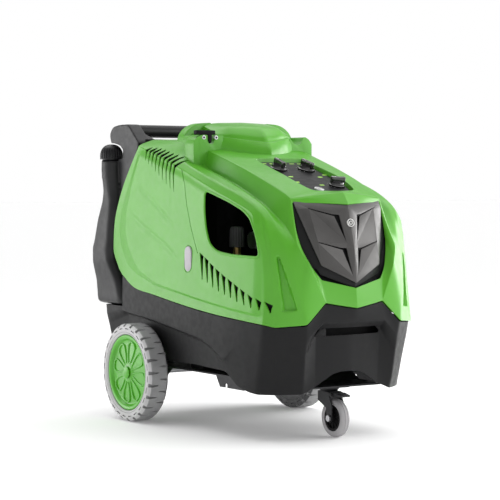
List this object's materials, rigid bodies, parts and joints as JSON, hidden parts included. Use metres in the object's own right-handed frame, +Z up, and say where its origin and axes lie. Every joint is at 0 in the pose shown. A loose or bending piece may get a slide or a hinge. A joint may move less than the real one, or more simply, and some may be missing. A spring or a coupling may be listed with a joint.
{
  "type": "pressure washer",
  "caption": "Wheeled hot-water pressure washer with a moulded hood, console, motor pump, boiler, rear tanks, push handle and braked swivel caster.",
  "frame": {"origin": "on the floor, centred under the machine's bounding box", "axes": "+Z up, the front with the badge and caster faces -Y, the handle is at +Y, +X is the machine's left-to-right direction seen from the front view"},
  "size_m": [0.682, 1.0537, 0.918],
  "materials": {
    "green_shell": "satin moulded",
    "black_shell": "fine grain moulded",
    "badge_metal": "satin metallic",
    "panel_dark": "satin",
    "knob_gloss": "gloss",
    "plug_grey": "satin",
    "wheel_green": "satin",
    "tyre_grey": "matt rubber",
    "steel_dark": "satin powder coat",
    "zinc": "zinc plated",
    "brass": "cast and machined",
    "motor_grey": "cast",
    "inner_black": "matt",
    "dial_white": "gloss"
  },
  "bodies": {
    "chassis": {"hood": "green_shell", "top_cowl": "green_shell", "control_panel": "panel_dark", "pressure_gauge": "dial_white", "badge_shield": "badge_metal", "badge_surround": "inner_black", "base_tub": "black_shell", "chassis_tray": "steel_dark", "rear_axle": "zinc", "rear_cover": "black_shell", "handle_bar": "black_shell", "lance_clip": "inner_black", "side_plug_left": "plug_grey", "side_plug_right": "plug_grey", "handle_upright_left": "black_shell", "handle_upright_right": "black_shell", "fuel_tank": "black_shell", "water_tank": "black_shell", "caster_plate": "steel_dark", "motor_body": "motor_grey", "motor_fan_cover": "motor_grey", "pump_crankcase": "motor_grey", "pump_head": "brass", "unloader_valve": "brass", "boiler_shell": "zinc", "heating_coil": "steel_dark", "burner_housing": "motor_grey", "fuel_pump": "zinc", "exhaust_grille": "inner_black", "transformer": "inner_black", "electrical_box": "panel_dark", "float_tank": "plug_grey", "high_pressure_pipe": "steel_dark", "water_inlet": "brass", "pressure_outlet": "zinc", "cable_gland": "inner_black"},
    "wheel_left": {"tyre_left": "tyre_grey", "wheel_hub_left": "wheel_green", "hub_cap_left": "wheel_green"},
    "wheel_right": {"tyre_right": "tyre_grey", "wheel_hub_right": "wheel_green", "hub_cap_right": "wheel_green"},
    "caster_swivel": {"caster_fork": "steel_dark", "caster_axle": "zinc"},
    "caster_wheel": {"caster_hub": "inner_black", "caster_tyre": "tyre_grey"},
    "brake": {"brake_pedal": "steel_dark"},
    "main_switch": {"main_switch_knob": "knob_gloss"},
    "thermostat": {"thermostat_knob": "knob_gloss"},
    "detergent_dial": {"detergent_knob": "knob_gloss"},
    "pressure_adjuster": {"pressure_knob": "knob_gloss"},
    "fuel_cap_turn": {"fuel_cap": "black_shell"},
    "water_cap_turn": {"water_cap": "black_shell"},
    "motor_rotor": {"motor_shaft": "zinc", "cooling_fan": "inner_black"},
    "burner_rotor": {"burner_fan": "steel_dark"}
  },
  "joints": [
    {"name": "wheel_left_spin", "type": "hinge", "parent": "chassis", "child": "wheel_left", "pos_m": [-0.303, 0.21, 0.15], "axis": [1, 0, 0], "continuous": true},
    {"name": "wheel_right_spin", "type": "hinge", "parent": "chassis", "child": "wheel_right", "pos_m": [0.303, 0.21, 0.15], "axis": [1, 0, 0], "continuous": true},
    {"name": "caster_swivel_turn", "type": "hinge", "parent": "chassis", "child": "caster_swivel", "pos_m": [0, -0.39, 0.14], "axis": [0, 0, 1], "continuous": true},
    {"name": "caster_wheel_spin", "type": "hinge", "parent": "caster_swivel", "child": "caster_wheel", "pos_m": [0, -0.422, 0.055], "axis": [1, 0, 0], "continuous": true},
    {"name": "brake_pedal_press", "type": "hinge", "parent": "caster_swivel", "child": "brake", "pos_m": [0, -0.425, 0.122], "axis": [1, 0, 0], "range_deg": [0, 14]},
    {"name": "main_switch_turn", "type": "hinge", "parent": "chassis", "child": "main_switch", "pos_m": [-0.045, -0.198, 0.78102], "axis": [0, -0.3117, 0.9502], "range_deg": [-90, 0]},
    {"name": "thermostat_turn", "type": "hinge", "parent": "chassis", "child": "thermostat", "pos_m": [0.05, -0.205, 0.77873], "axis": [0, -0.3117, 0.9502], "range_deg": [-270, 0]},
    {"name": "detergent_turn", "type": "hinge", "parent": "chassis", "child": "detergent_dial", "pos_m": [0.057, -0.35, 0.73117], "axis": [0, -0.3117, 0.9502], "range_deg": [-270, 0]},
    {"name": "pressure_knob_turn", "type": "hinge", "parent": "chassis", "child": "pressure_adjuster", "pos_m": [-0.15, -0.131, 0.56], "axis": [0, 0, 1], "range_deg": [-360, 0]},
    {"name": "fuel_cap_turn_joint", "type": "hinge", "parent": "chassis", "child": "fuel_cap_turn", "pos_m": [-0.247, 0.458, 0.806], "axis": [0, 0, 1], "range_deg": [0, 90]},
    {"name": "water_cap_turn_joint", "type": "hinge", "parent": "chassis", "child": "water_cap_turn", "pos_m": [0.247, 0.458, 0.806], "axis": [0, 0, 1], "range_deg": [0, 90]},
    {"name": "motor_spin", "type": "hinge", "parent": "chassis", "child": "motor_rotor", "pos_m": [0.1, -0.235, 0.35], "axis": [1, 0, 0], "continuous": true},
    {"name": "burner_fan_spin", "type": "hinge", "parent": "chassis", "child": "burner_rotor", "pos_m": [0.1, -0.102, 0.56], "axis": [1, 0, 0], "continuous": true}
  ]
}
